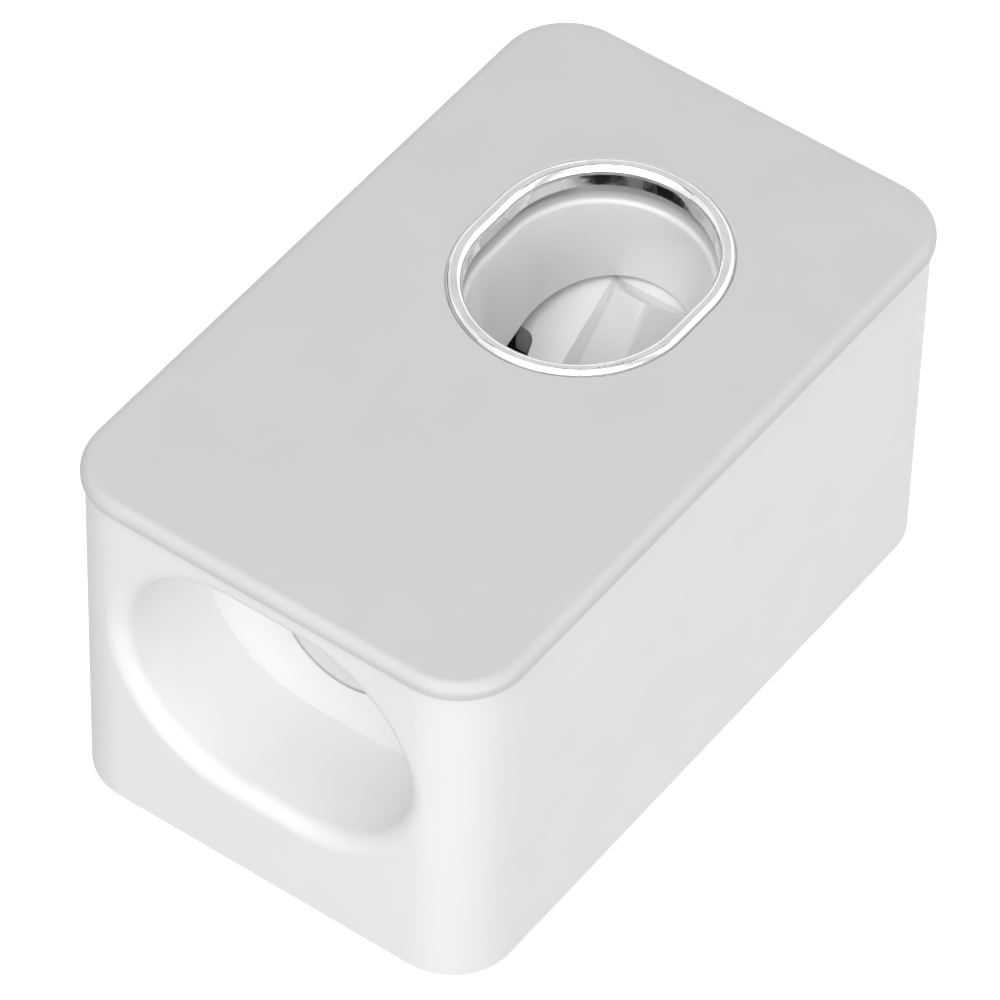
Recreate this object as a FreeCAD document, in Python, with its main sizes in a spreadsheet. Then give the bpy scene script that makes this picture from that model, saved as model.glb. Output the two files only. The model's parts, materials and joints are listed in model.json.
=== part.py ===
"""Wall-hung toothpaste dispenser, as a parametric document in millimetres.

Frame: +Z up, front of the object at -Y, wall face of the adhesive pad at Y = 0, and Z = 0 at half the
housing's height. A distance named "out" is counted from the wall towards the front, so Y = -out.
A distance named "deep" is counted from the panel's face towards the wall.
"""
import FreeCAD, Part
import math
import os
import Sketcher
from FreeCAD import Vector

SIZES = [
    # housing
    ("housing_width", 66.4),
    ("housing_height", 108.0),
    ("housing_depth", 54.9),
    ("housing_corner", 9.5),
    ("housing_wall", 2.2),
    ("back_edge_round", 0.4),
    # tube recess in the top end, and the round socket in its floor
    ("recess_out", 33.0),
    ("recess_radius", 17.6),
    ("recess_straight", 10.0),
    ("recess_depth", 17.3),
    ("recess_wall", 2.0),
    ("recess_floor", 2.2),
    ("recess_mouth_round", 2.4),
    ("socket_radius", 10.0),
    # front panel
    ("panel_thickness", 2.4),
    ("panel_overhang", 0.6),
    ("panel_edge_round", 1.6),
    ("panel_back_round", 0.3),
    ("panel_rib_height", 1.4),
    ("panel_rib_width", 1.3),
    # brush opening and its ring
    ("opening_drop", 16.8),
    ("opening_straight", 6.8),
    ("ring_radius", 14.75),
    ("ring_sleeve", 1.1),
    ("ring_bead", 2.25),
    ("ring_bead_height", 1.0),
    ("ring_seat", 0.5),
    ("ring_mouth_round", 1.2),
    ("ring_depth", 2.6),
    # brush cup
    ("lip_deep", 5.0),
    ("cup_straight", 6.5),
    ("cup_mouth_radius", 14.35),
    ("cup_inner_radius", 11.9),
    ("cup_length", 25.0),
    ("cup_wall", 1.8),
    ("cup_lip_round", 0.7),
    ("cup_gap", 2.8),
    ("cup_flange_radius", 22.5),
    ("cup_flange", 2.0),
    ("cup_edge_deep", 17.63),
    ("cup_edge_tilt", 18.0),
    ("cup_screw_radius", 19.6),
    # push lever
    ("paddle_deep", 18.904),
    ("paddle_tilt", 30.0),
    ("paddle_dish", 90.0),
    ("paddle_radius", 14.6),
    ("paddle_side", 0.8),
    ("paddle_thickness", 3.0),
    ("shoulder_drop", 21.3),
    ("stem_low_half", 11.6),
    ("stem_high_half", 5.2),
    ("shoulder_round", 1.5),
    ("rib_width", 6.8),
    ("rib_height", 7.4),
    ("rib_high_height", 1.0),
    ("rib_low_drop", 30.1),
    ("rib_high_drop", 15.5),
    ("rib_toe_drop", 32.2),
    ("rib_toe_height", 0.5),
    ("rib_round", 1.75),
    ("rib_foot", 3.2),
    ("hub_rise", 4.0),
    ("hub_set", 0.7),
    ("hub_radius", 4.0),
    ("hub_half", 5.2),
    ("nose_rise", 20.0),
    ("nose_radius", 2.0),
    ("nose_half", 5.0),
    ("arm_thickness", 3.6),
    ("arm_knee_rise", 13.0),
    ("arm_knee_set", 1.0),
    ("arm_half", 4.0),
    # pin, its clips and the return spring
    ("pin_radius", 1.5),
    ("pin_groove", 0.35),
    ("pin_tail", 1.2),
    ("clip_thickness", 0.7),
    ("clip_radius", 3.4),
    ("spring_wire", 0.8),
    ("spring_radius", 2.9),
    ("spring_turns", 2.0),
    ("spring_leg", 11.0),
    # pump frame
    ("anvil_thickness", 2.5),
    ("cheek_half", 10.2),
    ("cheek_thickness", 2.4),
    ("cheek_margin", 4.4),
    ("shelf_thickness", 2.0),
    ("lid_thickness", 2.5),
    ("lid_length", 22.0),
    ("frame_ear", 8.0),
    ("frame_ear_height", 7.0),
    # pump tube with its spigots and valves
    ("tube_radius", 6.5),
    ("tube_wall", 1.5),
    ("clamp_height", 2.0),
    ("clamp_wall", 0.8),
    ("spigot_wall", 1.45),
    ("spigot_reach", 4.2),
    ("cup_of_inlet", 3.6),
    ("inlet_rim", 9.4),
    ("valve_flange", 1.0),
    ("valve_seat", 5.6),
    ("valve_wall", 0.7),
    ("neck_radius", 6.0),
    ("neck_chamfer", 0.8),
    ("seal_plug_radius", 7.6),
    ("seal_plug_length", 2.5),
    ("seal_sunk", 0.2),
    # outlet
    ("elbow_half", 5.0),
    ("elbow_height", 4.2),
    ("elbow_clear", 1.0),
    ("channel_radius", 1.3),
    ("nozzle_deep", 15.0),
    ("nozzle_radius", 3.4),
    ("nozzle_wall", 1.0),
    ("nozzle_reach", 2.2),
    ("nozzle_slit", 0.4),
    # screws and what takes them
    ("post_half", 27.4),
    ("post_rise", 27.0),
    ("post_drop", 45.5),
    ("post_radius", 3.0),
    ("case_boss_radius", 4.4),
    ("case_boss_length", 22.0),
    ("case_seat", 2.5),
    ("case_screw", 1.5),
    ("case_head", 2.7),
    ("case_bite", 9.0),
    ("small_screw", 1.0),
    ("small_head", 2.0),
    ("small_boss", 2.4),
    ("small_bite", 3.0),
    ("frame_bite", 8.0),
    ("head_height", 1.5),
    ("drive_width", 0.6),
    ("drive_depth", 0.8),
    # wall plate and its channel
    ("plate_half", 18.0),
    ("plate_flare", 2.0),
    ("plate_thickness", 3.0),
    ("plate_height", 44.0),
    ("channel_wall", 2.0),
    ("pad_thickness", 1.0),
    ("pad_margin", 1.5),
    ("pad_corner", 3.0),
    # clearances
    ("fit_gap", 0.05),
    ("slide_gap", 0.3),
    ("turn_gap", 0.08),
    ("seal_gap", 0.3),
]

# Shares of the ring's bead or seat height that a fillet takes, and of a screw head that its drive takes
BEAD_ROUND_SHARE = 0.9
DRIVE_REACH_SHARE = 0.6


class Size:
    """A length together with the expression that gives it from the sheet."""

    def __init__(self, number, text):
        self.number = float(number)
        self.text = text

    def __add__(self, other):
        other = as_size(other)
        return Size(self.number + other.number, f"({self.text} + {other.text})")

    def __sub__(self, other):
        other = as_size(other)
        return Size(self.number - other.number, f"({self.text} - {other.text})")

    def __mul__(self, other):
        other = as_size(other)
        return Size(self.number * other.number, f"({self.text} * {other.text})")

    def __truediv__(self, other):
        other = as_size(other)
        return Size(self.number / other.number, f"({self.text} / {other.text})")

    def __neg__(self):
        return Size(-self.number, f"(-1 * {self.text})")

    def __radd__(self, other):
        return as_size(other) + self

    def __rsub__(self, other):
        return as_size(other) - self

    def __rmul__(self, other):
        return as_size(other) * self


def as_size(value):
    return value if isinstance(value, Size) else Size(value, f"({float(value)})")


def turned(function, angle):
    """Sine, cosine or tangent of an angle of the sheet, in degrees."""
    number = getattr(math, function)(math.radians(angle.number))
    return Size(number, f"{function}({angle.text} * 1 deg)")


class Sheet:
    """Gives each size of the spreadsheet by its name."""

    def __init__(self, document):
        self.cells = document.addObject("Spreadsheet::Sheet", "Sizes")
        for row, (name, value) in enumerate(SIZES, 1):
            self.cells.set(f"A{row}", name)
            self.cells.set(f"B{row}", str(value))
            self.cells.setAlias(f"B{row}", name)
            setattr(self, name, Size(value, f"Sizes.{name}"))


doc = FreeCAD.newDocument("ToothpasteDispenser")
s = Sheet(doc)
doc.recompute()


# Places that several pieces share

back_out = s.pad_thickness
front_out = back_out + s.housing_depth
face_out = front_out + s.panel_thickness
top_z = s.housing_height / 2
opening_z = -s.opening_drop
opening_half = s.opening_straight / 2
inside_z = top_z - s.housing_wall

tube_out = back_out + s.recess_out
recess_floor_z = top_z - s.recess_depth
recess_under_z = recess_floor_z - s.recess_floor

lip_out = face_out - s.lip_deep
flange_out = front_out - s.cup_gap
cup_half = s.cup_straight / 2
anvil_back_out = tube_out + s.tube_radius + s.fit_gap + s.clamp_wall + s.slide_gap
anvil_out = anvil_back_out + s.anvil_thickness

paddle_slope = turned("tan", s.paddle_tilt)
paddle_cosine = turned("cos", s.paddle_tilt)
paddle_low_z = opening_z - cup_half - s.cup_inner_radius
hub_z = s.hub_rise
hub_out = (face_out - s.paddle_deep - paddle_slope * (hub_z - paddle_low_z)
           - s.hub_set / paddle_cosine)
nose_z = s.nose_rise
nose_out = tube_out - s.tube_radius - s.slide_gap - s.nose_radius

cheek_outer = s.cheek_half + s.cheek_thickness
elbow_z = opening_z + cup_half + s.cup_mouth_radius + s.cup_wall + s.elbow_clear
shelf_z = elbow_z + s.elbow_height
tube_low_z = shelf_z + s.shelf_thickness + s.fit_gap
inlet_top_z = recess_under_z - s.slide_gap
lid_z = inlet_top_z - s.cup_of_inlet
tube_high_z = lid_z - s.lid_thickness - s.fit_gap
tube_bore = s.tube_radius - s.tube_wall
spigot_radius = tube_bore - s.fit_gap
spigot_bore = spigot_radius - s.spigot_wall
nozzle_out = face_out - s.nozzle_deep

boss_end_out = back_out + s.housing_wall + s.case_boss_length
post_spots = [
    (s.post_half, s.post_rise),
    (-s.post_half, s.post_rise),
    (s.post_half, -s.post_drop),
    (-s.post_half, -s.post_drop),
]
cup_screw_reach = s.cup_screw_radius * math.sqrt(0.5)
cup_spots = [
    (side * cup_screw_reach, opening_z + end * (opening_half + cup_screw_reach))
    for side in (1, -1)
    for end in (1, -1)
]
ear_reach = cheek_outer + s.frame_ear / 2
ear_low_z = tube_low_z + s.frame_ear_height / 2
ear_high_z = tube_high_z - s.frame_ear_height / 2
frame_spots = [
    (side * ear_reach, height) for side in (1, -1) for height in (ear_low_z, ear_high_z)
]
plate_top_z = s.plate_height / 2
channel_depth = s.plate_thickness + s.slide_gap


# Sketch and feature helpers

def bind(thing, path, value):
    """Ties one property of an object to the sheet."""
    thing.setExpression(path, as_size(value).text)


def new_body(name):
    body = doc.addObject("PartDesign::Body", name)
    body.Label = name
    return body


def new_sketch(body, plane, offset=0, shift=(0, 0), tilt=None):
    """A sketch on one of the body's origin planes, moved along the plane's normal by offset.

    XZ sketches face the front, so their offset is a distance out from the wall.
    """
    sketch = body.newObject("Sketcher::SketchObject", "Sketch")
    support = [feature for feature in body.Origin.OriginFeatures if feature.Role == plane][0]
    sketch.AttachmentSupport = [(support, "")]
    sketch.MapMode = "FlatFace"
    if tilt is not None:
        turn = FreeCAD.Rotation(Vector(-1, 0, 0), tilt.number)
        sketch.AttachmentOffset = FreeCAD.Placement(Vector(), turn)
        bind(sketch, ".AttachmentOffset.Rotation.Angle", tilt)
    for axis, value in zip("xyz", (shift[0], shift[1], offset)):
        bind(sketch, f".AttachmentOffset.Base.{axis}", value)
    return sketch


def fix(sketch, kind, *where, value):
    """A dimension of a sketch, tied to the sheet."""
    value = as_size(value)
    index = sketch.addConstraint(Sketcher.Constraint(kind, *where, value.number))
    bind(sketch, f"Constraints[{index}]", value)


def fix_point(sketch, geometry, end, x, y):
    fix(sketch, "DistanceX", -1, 1, geometry, end, value=x)
    fix(sketch, "DistanceY", -1, 1, geometry, end, value=y)


def circle(sketch, x, y, radius):
    x, y, radius = as_size(x), as_size(y), as_size(radius)
    shape = Part.Circle(Vector(x.number, y.number, 0), Vector(0, 0, 1), radius.number)
    index = sketch.addGeometry(shape, False)
    fix_point(sketch, index, 3, x, y)
    fix(sketch, "Radius", index, value=radius)


def rounded_outline(sketch, corners, radius):
    """A closed outline of equal arcs about the given centres, anticlockwise, and the lines between."""
    radius = as_size(radius)
    count = len(corners)
    centres = [Vector(as_size(x).number, as_size(y).number, 0) for x, y in corners]
    normals = []
    for here, after in zip(centres, centres[1:] + centres[:1]):
        along = (after - here).normalize()
        normals.append(Vector(along.y, -along.x, 0) * radius.number)
    arcs = []
    lines = []
    for number, centre in enumerate(centres):
        start = math.atan2(normals[number - 1].y, normals[number - 1].x)
        end = math.atan2(normals[number].y, normals[number].x)
        if end < start:
            end += 2 * math.pi
        full = Part.Circle(centre, Vector(0, 0, 1), radius.number)
        arcs.append(sketch.addGeometry(Part.ArcOfCircle(full, start, end), False))
    for number, centre in enumerate(centres):
        after = centres[(number + 1) % count]
        line = Part.LineSegment(centre + normals[number], after + normals[number])
        lines.append(sketch.addGeometry(line, False))
    for number, (x, y) in enumerate(corners):
        fix_point(sketch, arcs[number], 3, x, y)
        fix(sketch, "Radius", arcs[number], value=radius)
        sketch.addConstraint(Sketcher.Constraint("Tangent", arcs[number], 2, lines[number], 1))
        after = arcs[(number + 1) % count]
        sketch.addConstraint(Sketcher.Constraint("Tangent", lines[number], 2, after, 1))


def rounded_rectangle(sketch, width, height, corner):
    x = width / 2 - corner
    y = height / 2 - corner
    rounded_outline(sketch, [(x, y), (-x, y), (-x, -y), (x, -y)], corner)


def upright_stadium(sketch, radius, half):
    """An upright oval about the brush opening's middle, from its end radius and half its straight."""
    rounded_outline(sketch, [(0, opening_z + half), (0, opening_z - half)], radius)


def polygon(sketch, points):
    points = [(as_size(x), as_size(y)) for x, y in points]
    corners = [Vector(x.number, y.number, 0) for x, y in points]
    lines = []
    for here, after in zip(corners, corners[1:] + corners[:1]):
        lines.append(sketch.addGeometry(Part.LineSegment(here, after), False))
    for number, (x, y) in enumerate(points):
        sketch.addConstraint(Sketcher.Constraint("Coincident", lines[number - 1], 2, lines[number], 1))
        fix_point(sketch, lines[number], 1, x, y)


def rectangle(sketch, left, low, right, high):
    polygon(sketch, [(left, low), (right, low), (right, high), (left, high)])


def pad(body, sketch, length, reverse=False):
    feature = body.newObject("PartDesign::Pad", "Pad")
    feature.Profile = sketch
    feature.Reversed = reverse
    bind(feature, "Length", length)
    doc.recompute()
    return feature


def removed(body, before, feature):
    """Stops the build where a cut missed its solid."""
    doc.recompute()
    if not body.Shape.Volume < before - 1e-6:
        raise RuntimeError(f"{body.Label}: {feature.Name} cuts nothing")
    return feature


def pocket(body, sketch, length, reverse=False):
    before = body.Shape.Volume
    feature = body.newObject("PartDesign::Pocket", "Pocket")
    feature.Profile = sketch
    feature.Reversed = reverse
    bind(feature, "Length", length)
    return removed(body, before, feature)


def revolve(body, sketch, axis):
    feature = body.newObject("PartDesign::Revolution", "Revolution")
    feature.Profile = sketch
    feature.ReferenceAxis = (sketch, [axis])
    feature.Angle = 360
    doc.recompute()
    return feature


def loft(body, first, second, cut=False):
    before = body.Shape.Volume if body.Tip else 0
    kind = "PartDesign::SubtractiveLoft" if cut else "PartDesign::AdditiveLoft"
    feature = body.newObject(kind, "Loft")
    feature.Profile = first
    feature.Sections = [second]
    feature.Ruled = True
    if cut:
        return removed(body, before, feature)
    doc.recompute()
    return feature


def edges_at(feature, axis, value, keep=lambda box: True):
    """Names of the edges that lie in the plane axis = value."""
    names = []
    for number, edge in enumerate(feature.Shape.Edges, 1):
        box = edge.BoundBox
        low, high = getattr(box, axis + "Min"), getattr(box, axis + "Max")
        if abs(low - value.number) < 1e-4 and abs(high - value.number) < 1e-4 and keep(box):
            names.append(f"Edge{number}")
    return names


def fillet(body, feature, names, radius):
    rounding = body.newObject("PartDesign::Fillet", "Fillet")
    rounding.Base = (feature, names)
    bind(rounding, "Radius", radius)
    doc.recompute()
    return rounding


def turned_piece(name, plane_out, axis_x, points):
    """A body turned about an upright axis, from (radius, height) points."""
    body = new_body(name)
    sketch = new_sketch(body, "XZ_Plane", plane_out, shift=(axis_x, 0))
    polygon(sketch, points)
    revolve(body, sketch, "V_Axis")
    return body


def circles(body, out, spots, radius):
    """A front-facing sketch with one circle at each spot."""
    sketch = new_sketch(body, "XZ_Plane", out)
    for x, z in spots:
        circle(sketch, x, z, radius)
    return sketch


# Housing: one moulded tub, open at the front

def recess_outline(sketch, radius):
    half = s.recess_straight / 2
    rounded_outline(sketch, [(half, -tube_out), (-half, -tube_out)], radius)


def make_housing():
    body = new_body("housing")
    outside = new_sketch(body, "XZ_Plane", back_out)
    rounded_rectangle(outside, s.housing_width, s.housing_height, s.housing_corner)
    block = pad(body, outside, s.housing_depth)
    fillet(body, block, edges_at(block, "Y", -back_out), s.back_edge_round)
    cavity = new_sketch(body, "XZ_Plane", front_out)
    twice = 2 * s.housing_wall
    rounded_rectangle(cavity, s.housing_width - twice, s.housing_height - twice,
                      s.housing_corner - s.housing_wall)
    pocket(body, cavity, s.housing_depth - s.housing_wall)

    # tube recess, hung from the top wall
    well = new_sketch(body, "XY_Plane", top_z)
    recess_outline(well, s.recess_radius + s.recess_wall)
    pad(body, well, s.recess_depth + s.recess_floor, reverse=True)
    recess = new_sketch(body, "XY_Plane", top_z)
    recess_outline(recess, s.recess_radius)
    hollow = pocket(body, recess, s.recess_depth)
    reach = (s.recess_radius + s.recess_straight / 2).number
    mouth = edges_at(hollow, "Z", top_z, lambda box: max(box.XMax, -box.XMin) < reach + 0.01
                     and box.YMin > -(tube_out + s.recess_radius).number - 0.01)
    fillet(body, hollow, mouth, s.recess_mouth_round)
    socket = new_sketch(body, "XY_Plane", top_z)
    circle(socket, 0, -tube_out, s.socket_radius)
    pocket(body, socket, s.recess_depth + 2 * s.recess_floor)

    # bosses that take the case screws from behind
    inner_back_out = back_out + s.housing_wall
    pad(body, circles(body, inner_back_out, post_spots, s.case_boss_radius), s.case_boss_length)
    access = circles(body, back_out, post_spots, s.case_head + s.slide_gap)
    pocket(body, access, s.housing_wall + s.case_boss_length - s.case_seat, reverse=True)
    clear = circles(body, back_out, post_spots, s.case_screw + s.fit_gap)
    pocket(body, clear, s.housing_wall + s.case_boss_length + s.case_seat, reverse=True)

    # upright dovetail channel for the wall plate, open at the bottom
    wide = s.plate_half + s.plate_flare + s.slide_gap
    thick = channel_depth + s.channel_wall - s.housing_wall
    backing = new_sketch(body, "XZ_Plane", inner_back_out)
    rectangle(backing, -(wide + s.channel_wall), -inside_z, wide + s.channel_wall,
              plate_top_z + s.slide_gap + s.channel_wall)
    pad(body, backing, thick)
    channel = new_sketch(body, "XY_Plane", -top_z)
    narrow = s.plate_half + s.slide_gap
    deep_out = back_out + channel_depth
    polygon(channel, [(-narrow, -back_out), (-wide, -deep_out), (wide, -deep_out), (narrow, -back_out)])
    pocket(body, channel, top_z + plate_top_z + s.slide_gap, reverse=True)
    return body


# Front panel, with the posts and bosses on its back

def make_front_panel():
    body = new_body("front_panel")
    outside = new_sketch(body, "XZ_Plane", front_out)
    twice = 2 * s.panel_overhang
    rounded_rectangle(outside, s.housing_width + twice, s.housing_height + twice,
                      s.housing_corner + s.panel_overhang)
    plate = pad(body, outside, s.panel_thickness)
    eased = fillet(body, plate, edges_at(plate, "Y", -face_out), s.panel_edge_round)
    fillet(body, eased, edges_at(eased, "Y", -front_out), s.panel_back_round)
    hole = new_sketch(body, "XZ_Plane", face_out)
    upright_stadium(hole, s.ring_radius + s.ring_sleeve + s.fit_gap, opening_half)
    pocket(body, hole, 2 * s.panel_thickness)
    seat_radius = s.ring_radius + s.ring_bead + s.fit_gap
    seat = new_sketch(body, "XZ_Plane", face_out)
    upright_stadium(seat, seat_radius, opening_half)
    sunk = pocket(body, seat, s.ring_seat)
    seat_edge = edges_at(sunk, "Y", -face_out,
                         lambda box: max(box.XMax, -box.XMin) < seat_radius.number + 0.01)
    fillet(body, sunk, seat_edge, s.ring_seat * BEAD_ROUND_SHARE)

    # low rib that locates the panel in the housing's mouth
    rib = new_sketch(body, "XZ_Plane", front_out)
    outer = 2 * (s.housing_wall + s.slide_gap)
    inner = outer + 2 * s.panel_rib_width
    corner = s.housing_corner - s.housing_wall - s.slide_gap
    rounded_rectangle(rib, s.housing_width - outer, s.housing_height - outer, corner)
    rounded_rectangle(rib, s.housing_width - inner, s.housing_height - inner, corner - s.panel_rib_width)
    pad(body, rib, s.panel_rib_height, reverse=True)

    # posts for the case screws, then bosses for the cup and the pump frame
    post_end_out = boss_end_out + s.fit_gap
    pad(body, circles(body, front_out, post_spots, s.post_radius), front_out - post_end_out, reverse=True)
    pocket(body, circles(body, post_end_out, post_spots, s.case_screw + s.fit_gap),
           s.case_bite + s.slide_gap, reverse=True)
    pad(body, circles(body, front_out, cup_spots, s.small_boss), s.cup_gap, reverse=True)
    pocket(body, circles(body, flange_out, cup_spots, s.small_screw + s.fit_gap),
           s.small_bite + s.slide_gap, reverse=True)
    pad(body, circles(body, front_out, frame_spots, s.small_boss), front_out - anvil_out, reverse=True)
    pocket(body, circles(body, anvil_out, frame_spots, s.small_screw + s.fit_gap),
           s.frame_bite + s.slide_gap, reverse=True)
    return body


def make_chrome_ring():
    body = new_body("chrome_ring")
    sleeve = new_sketch(body, "XZ_Plane", face_out - s.ring_depth)
    upright_stadium(sleeve, s.ring_radius + s.ring_sleeve, opening_half)
    pad(body, sleeve, s.ring_depth - s.ring_seat)
    seat_out = face_out - s.ring_seat
    bead = new_sketch(body, "XZ_Plane", seat_out)
    upright_stadium(bead, s.ring_radius + s.ring_bead, opening_half)
    pad(body, bead, s.ring_bead_height)
    crest_out = seat_out + s.ring_bead_height
    bore = new_sketch(body, "XZ_Plane", crest_out)
    upright_stadium(bore, s.ring_radius, opening_half)
    opened = pocket(body, bore, s.ring_bead_height + s.ring_depth - s.ring_seat)
    inside = s.ring_radius.number + 0.01
    inner = edges_at(opened, "Y", -crest_out, lambda box: max(box.XMax, -box.XMin) < inside)
    eased = fillet(body, opened, inner, s.ring_mouth_round)
    outer = edges_at(eased, "Y", -crest_out,
                     lambda box: max(box.XMax, -box.XMin) > inside + s.ring_mouth_round.number)
    fillet(body, eased, outer, s.ring_bead_height * BEAD_ROUND_SHARE)
    return body


def make_brush_cup():
    body = new_body("brush_cup")
    flange = new_sketch(body, "XZ_Plane", flange_out)
    upright_stadium(flange, s.cup_flange_radius, opening_half)
    pad(body, flange, s.cup_flange, reverse=True)
    end_out = lip_out - s.cup_length

    def section(out, radius):
        sketch = new_sketch(body, "XZ_Plane", out)
        upright_stadium(sketch, radius, cup_half)
        return sketch

    loft(body, section(lip_out, s.cup_mouth_radius + s.cup_wall),
         section(end_out, s.cup_inner_radius + s.cup_wall))
    hollow = loft(body, section(lip_out, s.cup_mouth_radius), section(end_out, s.cup_inner_radius), cut=True)
    mouth = edges_at(hollow, "Y", -lip_out,
                     lambda box: box.XMax < s.cup_mouth_radius.number + 0.01
                     and box.XMin > -s.cup_mouth_radius.number - 0.01)
    fillet(body, hollow, mouth, s.cup_lip_round)

    # slanted rear edge, which the paddle rests behind
    slant = turned("tan", s.cup_edge_tilt)
    low_z = opening_z - opening_half - s.cup_flange_radius
    high_z = opening_z + opening_half + s.cup_flange_radius
    edge_out = face_out - s.cup_edge_deep
    low_out = edge_out + slant * (paddle_low_z - low_z)
    high_out = edge_out - slant * (high_z - paddle_low_z)
    rear = new_sketch(body, "YZ_Plane", s.cup_flange_radius)
    polygon(rear, [(-low_out, low_z), (-high_out, high_z), (-back_out, high_z), (-back_out, low_z)])
    pocket(body, rear, 2 * s.cup_flange_radius)

    spout = new_sketch(body, "XY_Plane", elbow_z)
    circle(spout, 0, -nozzle_out, s.nozzle_radius + s.slide_gap)
    pocket(body, spout, s.elbow_clear + 3 * s.cup_wall)
    pocket(body, circles(body, flange_out, cup_spots, s.small_screw + s.fit_gap), 2 * s.cup_flange)
    return body


# Push lever: dished paddle with a rib, hub, and an arm with a round nose

def paddle_out(z):
    """Where the middle of the paddle's face stands at height z."""
    return face_out - s.paddle_deep - paddle_slope * (z - paddle_low_z)


def above_paddle(drop, height):
    """Place in the upright middle plane of a point at a height square to the paddle's face."""
    out = paddle_out(-drop) + height * paddle_cosine
    return -out, height * turned("sin", s.paddle_tilt) - drop


def make_push_lever():
    body = new_body("push_lever")
    shoulder_z = -s.shoulder_drop
    end_z = shoulder_z - s.paddle_side
    thick = s.paddle_thickness / paddle_cosine
    front = paddle_out(end_z - s.paddle_radius) + s.paddle_radius
    outline = new_sketch(body, "XZ_Plane", front)
    paddle_outline(outline, end_z, shoulder_z)
    blank = pad(body, outline, front - hub_out + thick, reverse=True)
    fillet(body, blank, upright_edges(blank, s.stem_low_half, shoulder_z), s.shoulder_round)

    # dished front face, then the flat back
    low_z = end_z - 2 * s.paddle_radius
    dish = new_sketch(body, "XY_Plane", low_z, shift=(0, -paddle_out(low_z)), tilt=s.paddle_tilt)
    circle(dish, 0, -s.paddle_dish, s.paddle_dish)
    pocket(body, dish, 3 * (hub_z - low_z), reverse=True)
    high_z = hub_z + s.hub_radius
    rear = new_sketch(body, "YZ_Plane", s.paddle_radius)
    polygon(rear, [(thick - paddle_out(low_z), low_z), (-back_out, low_z), (-back_out, high_z),
                   (thick - paddle_out(high_z), high_z)])
    pocket(body, rear, 2 * s.paddle_radius)

    # rib up the middle of the face, which sinks into it towards the hub
    rise = (s.rib_height - s.rib_high_height) / (s.rib_low_drop - s.rib_high_drop)
    toe_crest = s.rib_height + rise * (s.rib_toe_drop - s.rib_low_drop)
    loft(body, rib_section(body, s.rib_toe_drop, toe_crest),
         rib_section(body, s.rib_high_drop, s.rib_high_height))
    # ramp that takes the rib from its peak down to its toe
    toe_half = s.rib_width / 2 + s.rib_foot
    past_drop = s.rib_toe_drop + s.paddle_thickness
    ramp = new_sketch(body, "YZ_Plane", toe_half)
    polygon(ramp, [above_paddle(s.rib_low_drop, s.rib_height), above_paddle(s.rib_toe_drop, s.rib_toe_height),
                   above_paddle(past_drop, s.rib_toe_height), above_paddle(past_drop, 2 * s.rib_height)])
    pocket(body, ramp, 2 * toe_half)

    hub = new_sketch(body, "YZ_Plane", -s.hub_half)
    circle(hub, -hub_out, hub_z, s.hub_radius)
    pad(body, hub, 2 * s.hub_half)
    arm = new_sketch(body, "YZ_Plane", -s.arm_half)
    half = s.arm_thickness / 2
    knee = -hub_out - s.arm_knee_set
    knee_z = s.arm_knee_rise
    polygon(arm, [(-hub_out - half, hub_z), (-hub_out + half, hub_z), (knee + half, knee_z + half),
                  (-nose_out, nose_z + half), (-nose_out, nose_z - half), (knee - half, knee_z - half)])
    pad(body, arm, 2 * s.arm_half)
    nose = new_sketch(body, "YZ_Plane", -s.nose_half)
    circle(nose, -nose_out, nose_z, s.nose_radius)
    pad(body, nose, 2 * s.nose_half)
    bore = new_sketch(body, "YZ_Plane", s.paddle_radius)
    circle(bore, -hub_out, hub_z, s.pin_radius + s.turn_gap)
    pocket(body, bore, 2 * s.paddle_radius)
    return body


def paddle_outline(sketch, end_z, shoulder_z):
    """Round lower end, shoulders, and a stem that narrows up to the hub."""
    wide, low, high = s.paddle_radius, s.stem_low_half, s.stem_high_half
    points = [(wide, end_z), (wide, shoulder_z), (low, shoulder_z), (high, hub_z),
              (-high, hub_z), (-low, shoulder_z), (-wide, shoulder_z), (-wide, end_z)]
    corners = [Vector(x.number, z.number, 0) for x, z in points]
    lines = [sketch.addGeometry(Part.LineSegment(a, b), False) for a, b in zip(corners, corners[1:])]
    for number, line in enumerate(lines):
        if number:
            sketch.addConstraint(Sketcher.Constraint("Coincident", lines[number - 1], 2, line, 1))
            fix_point(sketch, line, 1, *points[number])
    full = Part.Circle(Vector(0, end_z.number, 0), Vector(0, 0, 1), wide.number)
    arc = sketch.addGeometry(Part.ArcOfCircle(full, math.pi, 2 * math.pi), False)
    fix_point(sketch, arc, 3, 0, end_z)
    sketch.addConstraint(Sketcher.Constraint("Coincident", arc, 2, lines[0], 1))
    sketch.addConstraint(Sketcher.Constraint("Coincident", arc, 1, lines[-1], 2))
    fix_point(sketch, lines[0], 1, wide, end_z)
    fix(sketch, "DistanceY", -1, 1, lines[-1], 2, value=end_z)


def upright_edges(feature, half, z):
    """The pair of edges that run from front to back at (half, z) and (-half, z)."""
    names = []
    for number, edge in enumerate(feature.Shape.Edges, 1):
        first, last = edge.Vertexes[0].Point, edge.Vertexes[-1].Point
        if all(abs(abs(p.x) - half.number) + abs(p.z - z.number) < 1e-4 for p in (first, last)):
            names.append(f"Edge{number}")
    return names


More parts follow.
